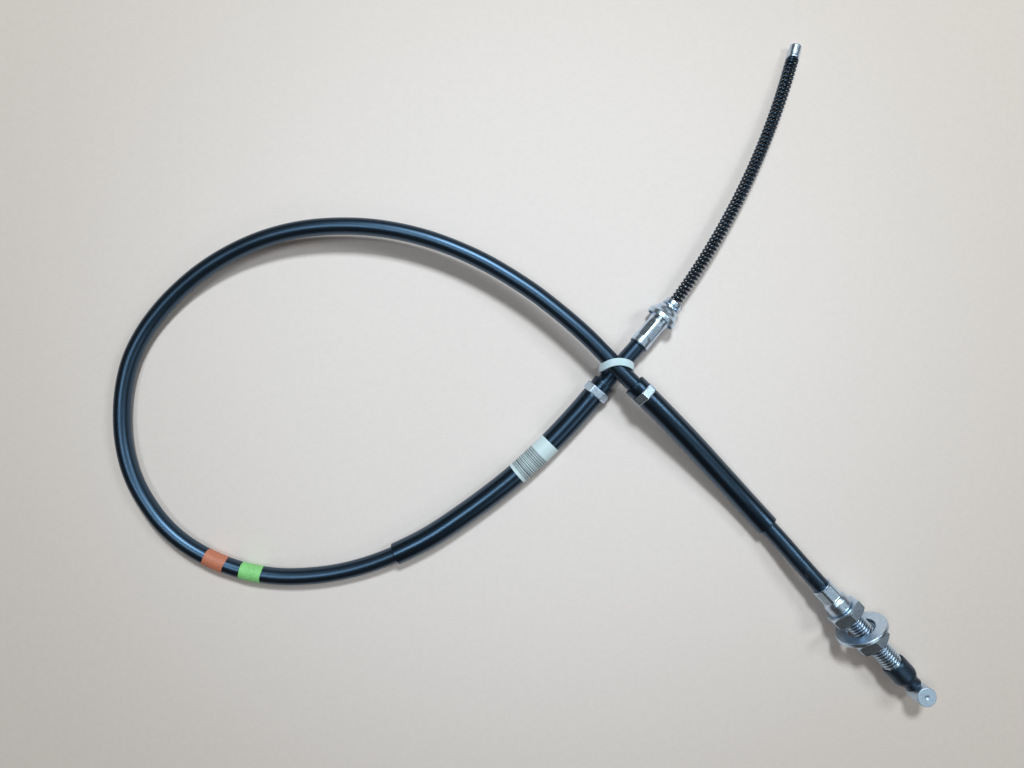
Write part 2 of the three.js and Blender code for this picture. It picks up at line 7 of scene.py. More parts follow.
import bpy
import numpy as np
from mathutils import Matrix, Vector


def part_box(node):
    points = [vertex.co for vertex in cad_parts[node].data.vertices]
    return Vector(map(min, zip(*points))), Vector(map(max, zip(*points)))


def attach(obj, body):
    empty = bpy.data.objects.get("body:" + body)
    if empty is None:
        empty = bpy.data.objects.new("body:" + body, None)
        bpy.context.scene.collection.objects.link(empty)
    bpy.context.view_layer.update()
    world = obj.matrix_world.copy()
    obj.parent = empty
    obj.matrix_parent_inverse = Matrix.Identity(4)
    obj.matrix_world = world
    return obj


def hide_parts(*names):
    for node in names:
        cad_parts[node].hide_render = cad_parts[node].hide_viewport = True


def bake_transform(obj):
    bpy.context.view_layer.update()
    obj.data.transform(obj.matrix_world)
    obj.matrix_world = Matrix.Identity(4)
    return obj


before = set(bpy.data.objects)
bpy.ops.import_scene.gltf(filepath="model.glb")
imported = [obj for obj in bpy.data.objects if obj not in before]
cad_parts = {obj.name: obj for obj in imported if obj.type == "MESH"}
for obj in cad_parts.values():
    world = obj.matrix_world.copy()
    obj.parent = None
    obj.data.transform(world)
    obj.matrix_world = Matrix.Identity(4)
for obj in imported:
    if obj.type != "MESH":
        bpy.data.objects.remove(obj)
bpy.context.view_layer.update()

MM = 0.001
UP = np.array([0.0, 0.0, 1.0])
TURN = 2 * np.pi

# Conduit
JACKET_RADIUS = 4.95 * MM
SQUEEZED_RADIUS = 4.4 * MM
SHEATH_RINGS = 820
CONDUIT_ROUTE = [
    (0.0682, 0.0162, 0.0091), (0.0618, 0.0089, 0.0088), (0.0552, 0.0016, 0.0084), (0.0503, -0.0039, 0.0081),
    (0.0384, -0.0177, 0.0074), (0.0249, -0.0322, 0.0072), (0.0106, -0.0462, 0.00715),
    (-0.007, -0.061, 0.00715), (-0.028, -0.0766, 0.00715), (-0.0483, -0.09, 0.0071),
    (-0.0633, -0.0978, 0.0069), (-0.0779, -0.1042, 0.0063), (-0.0931, -0.1091, 0.0059),
    (-0.1079, -0.1122, 0.0058), (-0.1227, -0.1137, 0.0058), (-0.1376, -0.1138, 0.0058),
    (-0.153, -0.1118, 0.0058), (-0.166, -0.1082, 0.0058), (-0.1791, -0.1029, 0.0058),
    (-0.1939, -0.0941, 0.0058), (-0.2061, -0.0833, 0.0058), (-0.2149, -0.0719, 0.0058),
    (-0.2222, -0.0593, 0.0058), (-0.2269, -0.0468, 0.0058), (-0.2299, -0.032, 0.0058),
    (-0.2306, -0.0154, 0.0058), (-0.2291, 0, 0.0058), (-0.225, 0.0154, 0.0059), (-0.2175, 0.0302, 0.0062),
    (-0.2077, 0.0432, 0.0068), (-0.1954, 0.0556, 0.0078), (-0.1804, 0.0672, 0.0093),
    (-0.163, 0.0772, 0.011), (-0.1431, 0.085, 0.013), (-0.1224, 0.0897, 0.0145), (-0.099, 0.0914, 0.0156),
    (-0.0745, 0.0897, 0.0162), (-0.0472, 0.0834, 0.0168), (-0.018, 0.0714, 0.0173),
    (0.0088, 0.0553, 0.0179), (0.0262, 0.0421, 0.0185), (0.0419, 0.0284, 0.0191), (0.0517, 0.0186, 0.0194),
    (0.0602, 0.0096, 0.0195), (0.0683, 0.0014, 0.0194), (0.0759, -0.006, 0.019), (0.0873, -0.0171, 0.0176),
    (0.1032, -0.0331, 0.0146), (0.1191, -0.0499, 0.0113), (0.1291, -0.0605, 0.0094),
    (0.1382, -0.0704, 0.0084), (0.1483, -0.0815, 0.0085), (0.1578, -0.0922, 0.0101),
    (0.167, -0.1032, 0.0124),
]

# Wheel-end fitting: its mouth on the conduit, its heading, and places along it
FITTING_MOUTH = (0.0745, 0.0233, 0.0093)
FITTING_HEADING = 49.5
FITTING_INSERTION = 14 * MM
FITTING_LENGTH = 32.1 * MM
FITTING_BORE = 4.7 * MM
FITTING_BODY = 5.75 * MM
FLANGE_RADIUS = 9.2 * MM
FLANGE_START = 19.0 * MM
FLANGE_END = 23.6 * MM
FLANGE_SHOULDER = 7.6 * MM
CONE_END = 27.5 * MM
CONE_RADIUS = 6.1 * MM
GROOVE = (28.0 * MM, 29.5 * MM)
CRIMP = (5.3 * MM, 15.2 * MM)
CRIMP_FLATS = 10.9 * MM
CRIMP_TURN = np.pi / 2 + np.radians(6)
GROOVE_RADIUS = 4.45 * MM
COLLAR_RADIUS = 5.2 * MM
SPRING_SEAT = 4 * MM
SEAT_RADIUS = 4 * MM
FITTING_WIRE_BORE = 2.75 * MM
CLIP_RADIUS = 5.7 * MM
CLIP_WIDTH = 0.9 * MM
CLIP_OPENING = 62

# Spring stretch: an arc that droops a little, from the fitting's collar
ARC_RADIUS = 450 * MM
ARC_HEADING = 53.7
ARC_DROOP = 9.6
SPRING_WIRE = 0.64 * MM
SPRING_RADIUS = 3.15 * MM
SPRING_START = -3.7 * MM
SPRING_END = 161.8 * MM
SPRING_COILS = 65
SPRING_END_COILS = 1.5
SPRING_END_PITCH = 1.4 * MM
WIRE_RADIUS = 1.7 * MM
BUTTON_START = 162.6 * MM
BUTTON_LENGTH = 8 * MM
BUTTON_RADIUS = 3.6 * MM
WHEEL_ROPE = (-3.2 * MM, BUTTON_START + 5.7 * MM)
ROPE_LAY = 26 * MM
OUTER_STRANDS = 7
SPRING_LINE_ZERO = 6 * MM
SPRING_LINE_END = 178 * MM

# Adjuster: its ferrule's mouth on the conduit, its heading, and places along it
ADJUSTER_MOUTH = (0.1793, -0.1173, 0.014)
ADJUSTER_HEADING = -46.9
ADJUSTER_INSERTION = 12 * MM
FERRULE_RADIUS = 6.1 * MM
FERRULE_END = 9.6 * MM
FERRULE_CRIMP = (1.2 * MM, 9.2 * MM)
FERRULE_CRIMP_FLATS = 11.2 * MM
FERRULE_CRIMP_TURN = np.pi / 2 - np.radians(20)
ADJUSTER_BORE = 2.3 * MM
ADJUSTER_COLLAR = (11.2 * MM, 17.3 * MM)
ADJUSTER_COLLAR_RADIUS = 7.3 * MM
THREAD_RADIUS = 6 * MM
THREAD_PITCH = 1.75 * MM
THREAD_DEPTH = 1.0 * MM
THREAD_END = 61.7 * MM
THREAD_CHAMFER = 0.8 * MM
NUT_FLATS = 19 * MM
NUT_THICKNESS = 7 * MM
NUT_BORE = 5.35 * MM
NUT_BEVEL = 1.1 * MM
INNER_NUT_START = 17.6 * MM
OUTER_NUT_START = 38.7 * MM
WASHER_CENTRE = 34 * MM
WASHER_RISE = 1.1 * MM
WASHER_RADIUS = 15 * MM
WASHER_HOLE = 7.7 * MM
WASHER_HALF = 1.2 * MM
WASHER_YAW = 14
WASHER_LEAN = 8

# Boot and barrel end
BOOT_START = 61.0 * MM
BOOT_RADIUS = 7.1 * MM
BOOT_MOUTH = 6.2 * MM
BOOT_WALL = 1.9 * MM
BOOT_WIRE_BORE = 1.9 * MM
BOOT_SKIRT_END = 71 * MM
BOOT_TAPER_END = 74.6 * MM
BOOT_TAPER_RADIUS = 5.7 * MM
BOOT_NECK_RADIUS = 4.7 * MM
BOOT_NECK_END = 79.1 * MM
BARREL_CENTRE = 84.9 * MM
BARREL_RADIUS = 5.55 * MM
BARREL_HALF = 7 * MM
LEVER_ROPE = (13 * MM, BARREL_CENTRE - 2 * MM)

# Hoses, rings, label, bands and tie, as distances along the conduit from the fitting's mouth
HOSE_RADIUS = 6.6 * MM
HOSE_BORE = 5.4 * MM
WHEEL_HOSE = (30.3 * MM, 190.8 * MM)
LEVER_HOSE = (798.5 * MM, 914.6 * MM)
WHEEL_RING = 37.6 * MM
LEVER_RING = 806.4 * MM
RING_WIDTH = 4.9 * MM
RING_FLATS = 13.7 * MM
WHEEL_RING_TURN = np.pi / 2 + np.radians(30)
LEVER_RING_TURN = np.pi / 2 - np.radians(8)
SLEEVE_SINK = 0.1 * MM
LABEL_THICKNESS = 0.12 * MM
TAPE_THICKNESS = 0.14 * MM
TAPE_WAVER = 0.3 * MM
LABEL = (77.8 * MM, 104.8 * MM)
BAND_WIDTH = 13 * MM
GREEN_BAND = 278.3 * MM
ORANGE_BAND = 300.8 * MM
TIE_HEADING = 2.2
TIE_WIDTH = 4.2 * MM
TIE_THICKNESS = 1.1 * MM
TIE_HALF_SPAN = 9.1 * MM
TIE_SHIFT = (-1.0 * MM, 0.4 * MM)
TIE_LEAN = 3.8 * MM
TIE_BOW = 3.0 * MM
TIE_GAP = 0.35 * MM
TIE_ROUNDING = 0.35 * MM

# Colours of the finishes, and the tint of what black rubber mirrors
ZINC_DULL = (0.36, 0.50, 0.70)
ZINC_BRIGHT = (0.82, 0.93, 1.0)
# Painted shade: the dark colour laid into the thread's hollows
THREAD_ROOT_SHADE = (0.03, 0.035, 0.045)
SHEATH_BLACK = (0.003, 0.0037, 0.0052)
DUST = (0.16, 0.17, 0.18)
RUBBED = (0.12, 0.13, 0.14)
FILM = (0.66, 0.80, 0.84)
INK = (0.035, 0.04, 0.05)
SHEEN = (0.36, 0.64, 1.0, 1.0)

# Floor and light. A lamp: its name, azimuth and elevation in degrees, distance, size and power in watts
FLOOR_HALF = 4.0
DAYLIGHT = (0.84, 0.95, 1.0)
LAMPS = (
    ("window", 83, 60, 1.41, (0.22, 0.2), 13.9),
    ("side window", 20, 49, 1.56, (0.36, 0.36), 5.0),
    ("ceiling", 176, 71.7, 1.53, (0.36, 0.3), 4.0),
    ("white wall", -42, 45, 1.5, (0.75, 0.6), 1.8),
)
ROOM_COLOUR = (1.0, 0.76, 0.56, 1.0)
ROOM_STRENGTH = 0.06
ROOM_GLOSS = 0.035

# Camera: straight above the drawing's zero, at the photograph's distance
CAMERA_HEIGHT = 450 * MM
SENSOR_WIDTH = 36
CAMERA_LENS = 26.4


def unit(vectors):
    """Vectors divided by their own lengths."""
    return vectors / np.linalg.norm(vectors, axis=-1, keepdims=True)


def heading(degrees):
    """A level direction at an angle from +X."""
    angle = np.radians(degrees)
    return np.array([np.cos(angle), np.sin(angle), 0.0])


def smooth(values, low, high):
    """0 up to low, 1 past high, and 3t squared minus 2t cubed between."""
    t = np.clip((values - low) / (high - low), 0, 1)
    return t * t * (3 - 2 * t)


def soft_min(a, b, blend):
    """The smaller of two values, with a rounded change-over: min(a, b) - h squared x blend / 4."""
    h = np.clip(1 - np.abs(a - b) / blend, 0, 1)
    return np.minimum(a, b) - h * h * blend / 4


def powered(values, power):
    """Each value's size to a power, with its own sign."""
    return np.sign(values) * np.abs(values) ** power


def turns(count):
    """Equal angles once round, without the last."""
    return np.linspace(0, TURN, count, endpoint=False)


def eased(outline, radius, steps=5, loop=False):
    """An outline with rounded corners: each becomes a quadratic curve from a point before it to one after."""
    corners = np.asarray(outline, float)
    here = corners if loop else corners[1:-1]
    before = np.roll(corners, 1, axis=0) if loop else corners[:-2]
    after = np.roll(corners, -1, axis=0) if loop else corners[2:]
    back, ahead = before - here, after - here
    back_length = np.linalg.norm(back, axis=1, keepdims=True)
    ahead_length = np.linalg.norm(ahead, axis=1, keepdims=True)
    start = here + back / back_length * np.minimum(radius, 0.45 * back_length)
    end = here + ahead / ahead_length * np.minimum(radius, 0.45 * ahead_length)
    t = np.linspace(0, 1, steps)[None, :, None]
    curve = (1 - t) ** 2 * start[:, None] + 2 * t * (1 - t) * here[:, None] + t ** 2 * end[:, None]
    rounded = curve.reshape(-1, 2)
    return rounded if loop else np.concatenate([corners[:1], rounded, corners[-1:]])


def refined(outline, step, loop=False):
    """The same outline with points no further apart than a step: each side is cut into equal parts."""
    points = np.concatenate([outline, outline[:1]]) if loop else outline
    lengths = np.linalg.norm(np.diff(points, axis=0), axis=1)
    distance = np.concatenate([[0], np.cumsum(lengths)])
    marks = np.unique(np.concatenate([distance, np.arange(0, distance[-1], step)]).round(9))
    marks = marks[np.concatenate([[True], np.diff(marks) > 1e-7])]
    marks = marks[:-1] if loop else marks
    return np.stack([np.interp(marks, distance, points[:, k]) for k in (0, 1)], axis=1)


class Path:
    """A line through space. At a distance along it, it gives the point and the directions across it."""

    def __init__(self, points, up=UP):
        self.points = np.asarray(points, float)
        self.up = np.asarray(up, float)
        steps = np.linalg.norm(np.diff(self.points, axis=0), axis=1)
        self.distance = np.concatenate([[0], np.cumsum(steps)])
        self.length = self.distance[-1]

    def at(self, distances):
        """Points on the line, which runs on straight past both of its ends."""
        distances = np.asarray(distances, float)
        inside = np.clip(distances, 0, self.length)
        point = np.stack([np.interp(inside, self.distance, self.points[:, k]) for k in range(3)], axis=-1)
        first = unit(self.points[1] - self.points[0])
        last = unit(self.points[-1] - self.points[-2])
        before = np.minimum(distances, 0)[..., None] * first
        beyond = np.maximum(distances - self.length, 0)[..., None] * last
        return point + before + beyond

    def frame(self, distances):
        """Point, tangent, side and above: side is level, and above is square to both."""
        reach = 0.8 * MM
        tangent = unit(self.at(distances + reach) - self.at(distances - reach))
        side = unit(np.cross(tangent, self.up))
        return self.at(distances), tangent, side, np.cross(side, tangent)

    def swept(self, distances, radii, angles):
        """Rings round the line: point + radius x (cos a x side + sin a x above), a radius for each point."""
        point, _, side, above = self.frame(np.asarray(distances, float))
        shape = (len(distances), len(angles))
        radii = np.broadcast_to(np.asarray(radii, float).reshape(len(distances), -1), shape)
        sideways, upward = np.cos(angles)[None, :, None], np.sin(angles)[None, :, None]
        round_about = side[:, None] * sideways + above[:, None] * upward
        return point[:, None] + radii[..., None] * round_about


def through(points, samples=24):
    """A centripetal Catmull-Rom line through points: cubics whose knots are the square roots of the chords."""
    points = np.asarray(points, float)
    padded = np.concatenate([[2 * points[0] - points[1]], points, [2 * points[-1] - points[-2]]])
    a, b, c, d = padded[:-3], padded[1:-2], padded[2:-1], padded[3:]
    ab, bc, cd = (np.sqrt(np.linalg.norm(q - p, axis=1, keepdims=True)) for p, q in ((a, b), (b, c), (c, d)))
    leaving = ((b - a) / ab - (c - a) / (ab + bc) + (c - b) / bc) * bc
    arriving = ((c - b) / bc - (d - b) / (bc + cd) + (d - c) / cd) * bc
    t = np.linspace(0, 1, samples, endpoint=False)[None, :, None]
    square = -3 * b + 3 * c - 2 * leaving - arriving
    cube = 2 * b - 2 * c + leaving + arriving
    line = b[:, None] + leaving[:, None] * t + square[:, None] * t ** 2 + cube[:, None] * t ** 3
    return np.concatenate([line.reshape(-1, 3), points[-1:]])


# The drawing's zero in the frame comes from the barrel end, whose axis is known in both
adjuster_axis = heading(ADJUSTER_HEADING)
barrel_low, barrel_high = (np.array(corner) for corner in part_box("barrel_end"))
drawing_zero = (barrel_low + barrel_high) / 2 - (np.array(ADJUSTER_MOUTH) + BARREL_CENTRE * adjuster_axis)

fitting_axis = heading(FITTING_HEADING)
fitting_mouth = np.array(FITTING_MOUTH) + drawing_zero
adjuster_mouth = np.array(ADJUSTER_MOUTH) + drawing_zero
fitting_line = Path([fitting_mouth, fitting_mouth + FITTING_LENGTH * fitting_axis])
adjuster_line = Path([adjuster_mouth, adjuster_mouth + BARREL_CENTRE * adjuster_axis])
conduit = Path(through([
    fitting_line.at(FITTING_INSERTION),
    fitting_mouth,
    *(np.array(point) + drawing_zero for point in CONDUIT_ROUTE),
    adjuster_mouth,
    adjuster_line.at(ADJUSTER_INSERTION),
]))

# The spring stretch's arc
arc_start = fitting_line.at(FITTING_LENGTH)
droop = np.radians(ARC_DROOP)
arc_axis = heading(ARC_HEADING)
arc_left = np.cos(droop) * np.cross(UP, arc_axis) - np.sin(droop) * UP
arc_normal = np.cross(arc_axis, arc_left)


def on_arc(distances):
    """Point, tangent and outward direction on the arc.

    The point is start + R (1 - cos a) left + R sin a ahead, with a = distance / R.
    """
    angle = (np.asarray(distances, float) / ARC_RADIUS)[..., None]
    point = arc_start + ARC_RADIUS * ((1 - np.cos(angle)) * arc_left + np.sin(angle) * arc_axis)
    tangent = np.cos(angle) * arc_axis + np.sin(angle) * arc_left
    return point, tangent, np.cross(tangent, arc_normal)


spring_line = Path(on_arc(np.linspace(-SPRING_LINE_ZERO, SPRING_LINE_END, 400))[0])


class Shade:
    """A shader value. Arithmetic on it adds Math nodes."""

    def __init__(self, finish, socket):
        self.finish = finish
        self.socket = socket

    def _math(self, operation, first, second=0.0):
        return self.finish.make("ShaderNodeMath", {"operation": operation}, {0: first, 1: second})

    def __add__(self, other):
        return self._math("ADD", self, other)

    __radd__ = __add__

    def __mul__(self, other):
        return self._math("MULTIPLY", self, other)

    __rmul__ = __mul__

    def __sub__(self, other):
        return self._math("SUBTRACT", self, other)

    def __rsub__(self, other):
        return self._math("SUBTRACT", other, self)

    def __truediv__(self, other):
        return self._math("DIVIDE", self, other)

    def __mod__(self, other):
        return self._math("FLOORED_MODULO", self, other)

    def __abs__(self):
        return self._math("ABSOLUTE", self)

    def above(self, limit):
        return self._math("GREATER_THAN", self, limit)

    def between(self, low, high):
        """0 at low and 1 at high, with a soft start and end."""
        return self.finish.make(
            "ShaderNodeMapRange", {"interpolation_type": "SMOOTHSTEP"},
            {"Value": self, "From Min": low, "From Max": high},
        )


class Finish:
    """One procedural material around a Principled shader."""

    def __init__(self, name, slot, **constants):
        self.slot = slot
        self.material = bpy.data.materials.new(name)
        self.material.use_nodes = True
        self.tree = self.material.node_tree
        self.shader = self.tree.nodes["Principled BSDF"]
        for label, value in constants.items():
            self.shader.inputs[label.replace("_", " ")].default_value = value

    def make(self, kind, settings=None, inputs=None, output=0):
        """A node of that kind: its settings first, then its sockets' values or links. One output comes back."""
        node = self.tree.nodes.new(kind)
        for label, value in (settings or {}).items():
            setattr(node, label, value)
        for label, value in (inputs or {}).items():
            self._feed(node.inputs[label], value)
        return Shade(self, node.outputs[output])

    def _feed(self, socket, value):
        if isinstance(value, Shade):
            self.tree.links.new(value.socket, socket)
        elif hasattr(socket.default_value, "__len__") and len(socket.default_value) == 4:
            socket.default_value = (*value, 1.0) if len(value) == 3 else value
        else:
            socket.default_value = value

    def place(self):
        """Object coordinates, in metres."""
        return self.make("ShaderNodeTexCoord", output="Object")

    def surface_place(self, along=1.0, around=1.0):
        """The piece's own map, stretched: metres along it, and turns round it."""
        spot = self.make("ShaderNodeUVMap", {"uv_map": "surface"})
        return self.make("ShaderNodeVectorMath", {"operation": "MULTIPLY"}, {0: spot, 1: (along, around, 1.0)})

    def parts(self, vector):
        """The two numbers of a map position: along and around."""
        split = self.make("ShaderNodeSeparateXYZ", inputs={0: vector})
        return split, Shade(self, split.socket.node.outputs[1])

    def noise(self, vector, scale, detail=4.0, roughness=0.55):
        inputs = {"Vector": vector, "Scale": scale, "Detail": detail, "Roughness": roughness}
        return self.make("ShaderNodeTexNoise", inputs=inputs)

    def mix(self, factor, first, second):
        """A colour between two, by a factor."""
        return self.make("ShaderNodeMix", {"data_type": "RGBA"}, {0: factor, 6: first, 7: second}, output=2)

    def fed(self, label):
        """What feeds one of the shader's sockets so far."""
        return Shade(self, self.shader.inputs[label].links[0].from_socket)

    def colour(self, value):
        self._feed(self.shader.inputs["Base Color"], value)

    def rough(self, value):
        self._feed(self.shader.inputs["Roughness"], value)

    def bump(self, height, distance, strength=1.0):
        """Height, from 0 to 1, raises the surface by up to a distance, on top of any earlier bump."""
        normal = self.shader.inputs["Normal"]
        inputs = {"Height": height, "Distance": distance, "Strength": strength}
        if normal.is_linked:
            inputs["Normal"] = self.fed("Normal")
        self._feed(normal, self.make("ShaderNodeBump", inputs=inputs))


def surface(name, grid, finish, body, along=None, loop=False, sharp=38, replaces=()):
    """A closed skin over a grid of points: rows along the piece, columns once round it, equal points a pole.

    The map named surface holds metres along and turns round. Faces are turned out by the sign of the volume.
    """
    rows, columns = grid.shape[:2]
    along = np.arange(rows, dtype=float) * MM if along is None else np.asarray(along, float)
    point = grid.reshape(-1, 3)
    pole = np.ptp(grid, axis=1).max(axis=1) < 1e-9
    weld = np.arange(rows * columns).reshape(rows, columns)
    weld[pole] = weld[pole][:, :1]
    row, column = np.meshgrid(np.arange(rows if loop else rows - 1), np.arange(columns), indexing="ij")
    row, column = row.ravel(), column.ravel()
    after, beside = (row + 1) % rows, (column + 1) % columns
    quads = np.stack([weld[row, column], weld[after, column], weld[after, beside], weld[row, beside]], axis=1)
    places = np.stack([
        np.stack([along[row], along[after], along[after], along[row]], axis=1),
        np.stack([column, column, column + 1, column + 1], axis=1) / columns,
    ], axis=-1)
    a, b, c, d = (point[quads[:, k]] for k in range(4))
    volume = np.einsum("ij,ij->", a, np.cross(b, c)) + np.einsum("ij,ij->", a, np.cross(c, d))
    if volume < 0:
        quads, places = quads[:, ::-1], places[:, ::-1]
    kept = np.array([quads[:, k] != quads[:, (k + 1) % 4] for k in range(4)]).T
    whole = kept.all(axis=1)
    used, compact = np.unique(quads, return_inverse=True)
    quads = compact.reshape(quads.shape)
    faces = [quads[whole], quads[~whole][kept[~whole]].reshape(-1, 3)]
    corners = np.concatenate([places[whole].reshape(-1, 2), places[~whole][kept[~whole]].reshape(-1, 2)])

    mesh = bpy.data.meshes.new(name)
    mesh.from_pydata(point[used].tolist(), [], faces[0].tolist() + faces[1].tolist())
    mesh.uv_layers.new(name="surface").data.foreach_set("uv", corners.ravel().astype(np.float32))
    mesh.polygons.foreach_set("use_smooth", np.ones(len(mesh.polygons), bool))
    mesh.set_sharp_from_angle(angle=np.radians(sharp))
    piece = bpy.data.objects.new(name, mesh)
    bpy.context.scene.collection.objects.link(piece)
    piece.data.materials.append(finish.material)
    if body:
        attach(piece, body)
    if replaces:
        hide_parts(*replaces)
    return piece


# Finishes

def zinc_finish(name, lines=0.5, roughness=0.3):
    """Bright zinc plate over turned steel: fine lathe rings, a faint cloudy tone and small scratches."""
    finish = Finish(name, "zinc", Metallic=1.0)
    cloud = finish.noise(finish.place(), 900.0, 3.0)
    fine = finish.noise(finish.surface_place(4200.0, 3.0), 1.0, 2.0)
    scratch = finish.noise(finish.surface_place(900.0, 90.0), 1.0, 2.0)
    finish.colour(finish.mix(cloud, ZINC_DULL, ZINC_BRIGHT))
    finish.rough(roughness - 0.06 + 0.16 * cloud)
    finish.bump(fine, 0.02 * MM * lines)
    finish.bump(scratch.between(0.55, 0.75), 0.012 * MM)
    return finish


def thread_finish():
    """The adjuster's zinc plate, with painted shade darkening the thread's hollows by the same wave as its
    form.
    """
    finish = zinc_finish("threaded zinc plate", 0.3, 0.33)
    along, around = finish.parts(finish.surface_place())
    wave = abs((along / THREAD_PITCH + around) % 1.0 * 2.0 - 1.0)
    past_start = along.above(ADJUSTER_COLLAR[1] + THREAD_CHAMFER)
    past_end = along.above(THREAD_END - THREAD_CHAMFER)
    # Painted shade: the hollows between the thread's crests are darkened in the colour
    hollow_shade = wave.between(0.35, 0.75) * (past_start * (1 - past_end))
    finish.colour(finish.mix(hollow_shade * 0.85, finish.fed("Base Color"), THREAD_ROOT_SHADE))
    return finish


def rubber_finish(name, slot, base, roughness, grain, dust=0.12):
    """Black rubber or polymer: a fine grain, slow changes of gloss and, unless dust is 0, pale dust."""
    finish = Finish(name, slot, IOR=1.65, Specular_IOR_Level=1.0, Specular_Tint=SHEEN)
    place = finish.place()
    speck = finish.noise(place, 1500.0, 5.0)
    slow = finish.noise(place, 60.0, 3.0)
    if dust:
        dusty = speck.between(0.62, 0.78) * slow.between(0.4, 0.7) * dust
        finish.colour(finish.mix(dusty, base, DUST))
    finish.rough(roughness - 0.05 + 0.05 * slow + 0.05 * speck)
    finish.bump(speck, grain)
    return finish


def jacket_finish():
    """Extruded black sheath: fine ribs round it, scuffs, and a rubbed stretch near the adjuster."""
    finish = rubber_finish("conduit sheath", "jacket", SHEATH_BLACK, 0.36, 0.003 * MM, dust=0)
    along, _ = finish.parts(finish.surface_place())
    wander = finish.noise(finish.surface_place(120.0, 2.0), 1.0, 2.0)
    ribs = abs((along / (1.15 * MM) + wander * 0.8) % 1.0 - 0.5)
    finish.bump(ribs, 0.012 * MM)
    scuffs = finish.noise(finish.surface_place(160.0, 22.0), 1.0, 6.0, 0.7).between(0.52, 0.68)
    rubbed = along.between(0.935, 0.95) * scuffs * 0.6
    finish.colour(finish.mix(rubbed, SHEATH_BLACK, RUBBED))
    return finish


def tape_finish(name, slot, colour):
    """A tape band: its colour a little uneven, greyer in random patches."""
    finish = Finish(name, slot, Roughness=0.5)
    patch = finish.noise(finish.place(), 700.0, 4.0)
    finish.colour(finish.mix(patch.between(0.3, 0.75), colour, tuple(0.75 * c + 0.03 for c in colour)))
    finish.rough(0.42 + 0.2 * patch)
    finish.bump(patch, 0.02 * MM)
    return finish


def label_finish():
    """Coated film with plain dark bars across two thirds of it, which stand for print and say nothing."""
    finish = Finish("label film", "label", Roughness=0.42)
    along, around = finish.parts(finish.surface_place())
    position = (along - LABEL[0]) / (LABEL[1] - LABEL[0])
    stripes = finish.noise(finish.make("ShaderNodeCombineXYZ", inputs={0: along * 1900.0}), 1.0, 1.0)
    printed = position.between(0.335, 0.345) * (1 - position.between(0.925, 0.93))
    ink = stripes.between(0.47, 0.5) * printed
    worn = finish.noise(finish.place(), 1800.0, 4.0)
    finish.colour(finish.mix(ink * (0.72 + 0.2 * worn), FILM, INK))
    finish.bump(worn, 0.01 * MM)
    return finish


def nylon_finish(name, slot, colour):
    """Moulded nylon: a little light passes under the skin, with faint flow marks."""
    finish = Finish(name, slot, Subsurface_Weight=0.15, Subsurface_Scale=1.5 * MM)
    flow = finish.noise(finish.place(), 500.0, 3.0)
    finish.colour(finish.mix(flow, colour, tuple(0.86 * c for c in colour)))
    finish.rough(0.3 + 0.15 * flow)
    finish.bump(flow, 0.02 * MM)
    return finish


def steel_finish(name, slot, colour, roughness):
    """Drawn steel under oil or a dark coat: streaks along the wire and small worn spots."""
    finish = Finish(name, slot, Metallic=0.85)
    streak = finish.noise(finish.surface_place(300.0, 14.0), 1.0, 4.0)
    finish.colour(finish.mix(streak.between(0.35, 0.75), colour, tuple(1.8 * c for c in colour)))
    finish.rough(roughness - 0.06 + 0.15 * streak)
    finish.bump(streak, 0.01 * MM)
    return finish


zinc = zinc_finish("zinc plate", 0.5, 0.31)
barrel_zinc = zinc_finish("barrel zinc plate", 0.8, 0.46)
threaded_zinc = thread_finish()
pressed_zinc = zinc_finish("pressed zinc plate", 0.2, 0.36)
sheath = jacket_finish()
hose_rubber = rubber_finish("hose rubber", "hose", (0.002, 0.0028, 0.0042), 0.31, 0.0016 * MM, 0.03)
boot_rubber = rubber_finish("boot rubber", "boot", (0.006, 0.0065, 0.009), 0.42, 0.03 * MM, 0.2)
spring_coat = rubber_finish("black spring coat", "spring", (0.0025, 0.003, 0.0045), 0.3, 0.01 * MM, 0.1)
wire_steel = steel_finish("oiled wire", "steel", (0.12, 0.13, 0.145), 0.35)
wound_steel = steel_finish("wound strip", "steel", (0.3, 0.31, 0.33), 0.4)
liner_nylon = nylon_finish("liner nylon", "nylon", (0.82, 0.8, 0.72))
tie_nylon = nylon_finish("tie nylon", "tie", (0.66, 0.84, 0.92))
orange_tape = tape_finish("orange tape", "orange_tape", (0.60, 0.19, 0.10))
green_tape = tape_finish("green tape", "green_tape", (0.27, 0.72, 0.23))
label_film = label_finish()


# Camera, before everything that it looks at
camera_data = bpy.data.cameras.new("camera")
camera_data.sensor_width = SENSOR_WIDTH
camera_data.lens = CAMERA_LENS
camera = bpy.data.objects.new("camera", camera_data)
camera.location = (drawing_zero[0], drawing_zero[1], CAMERA_HEIGHT)
bpy.context.scene.collection.objects.link(camera)
bpy.context.scene.camera = camera


# Conduit

def sheath_marks():
    """Distances of the sheath's rings, evenly along the whole conduit."""
    return np.linspace(0, conduit.length, SHEATH_RINGS)


def conduit_sheath():
    """Rings along the conduit: the radius drops where both ferrules press it, and wavers a little."""
    ferrule_mouth = conduit.length - ADJUSTER_INSERTION
    distance = np.concatenate([[0.0], sheath_marks(), [conduit.length]])
    pressed = 1 - smooth(distance, FITTING_INSERTION - 1.2 * MM, FITTING_INSERTION + 0.4 * MM)
    pressed = pressed + smooth(distance, ferrule_mouth - 0.4 * MM, ferrule_mouth + 1.2 * MM)
    radius = JACKET_RADIUS - (JACKET_RADIUS - SQUEEZED_RADIUS) * pressed
    radius = radius + 0.03 * MM * np.sin(distance / (23 * MM)) * np.sin(distance / (7.1 * MM))
    radius[[0, -1]] = 0
    grid = conduit.swept(distance, radius, turns(32))
    return surface("conduit_sheath", grid, sheath, "casing", distance - FITTING_INSERTION,
                   replaces=["conduit_jacket"])


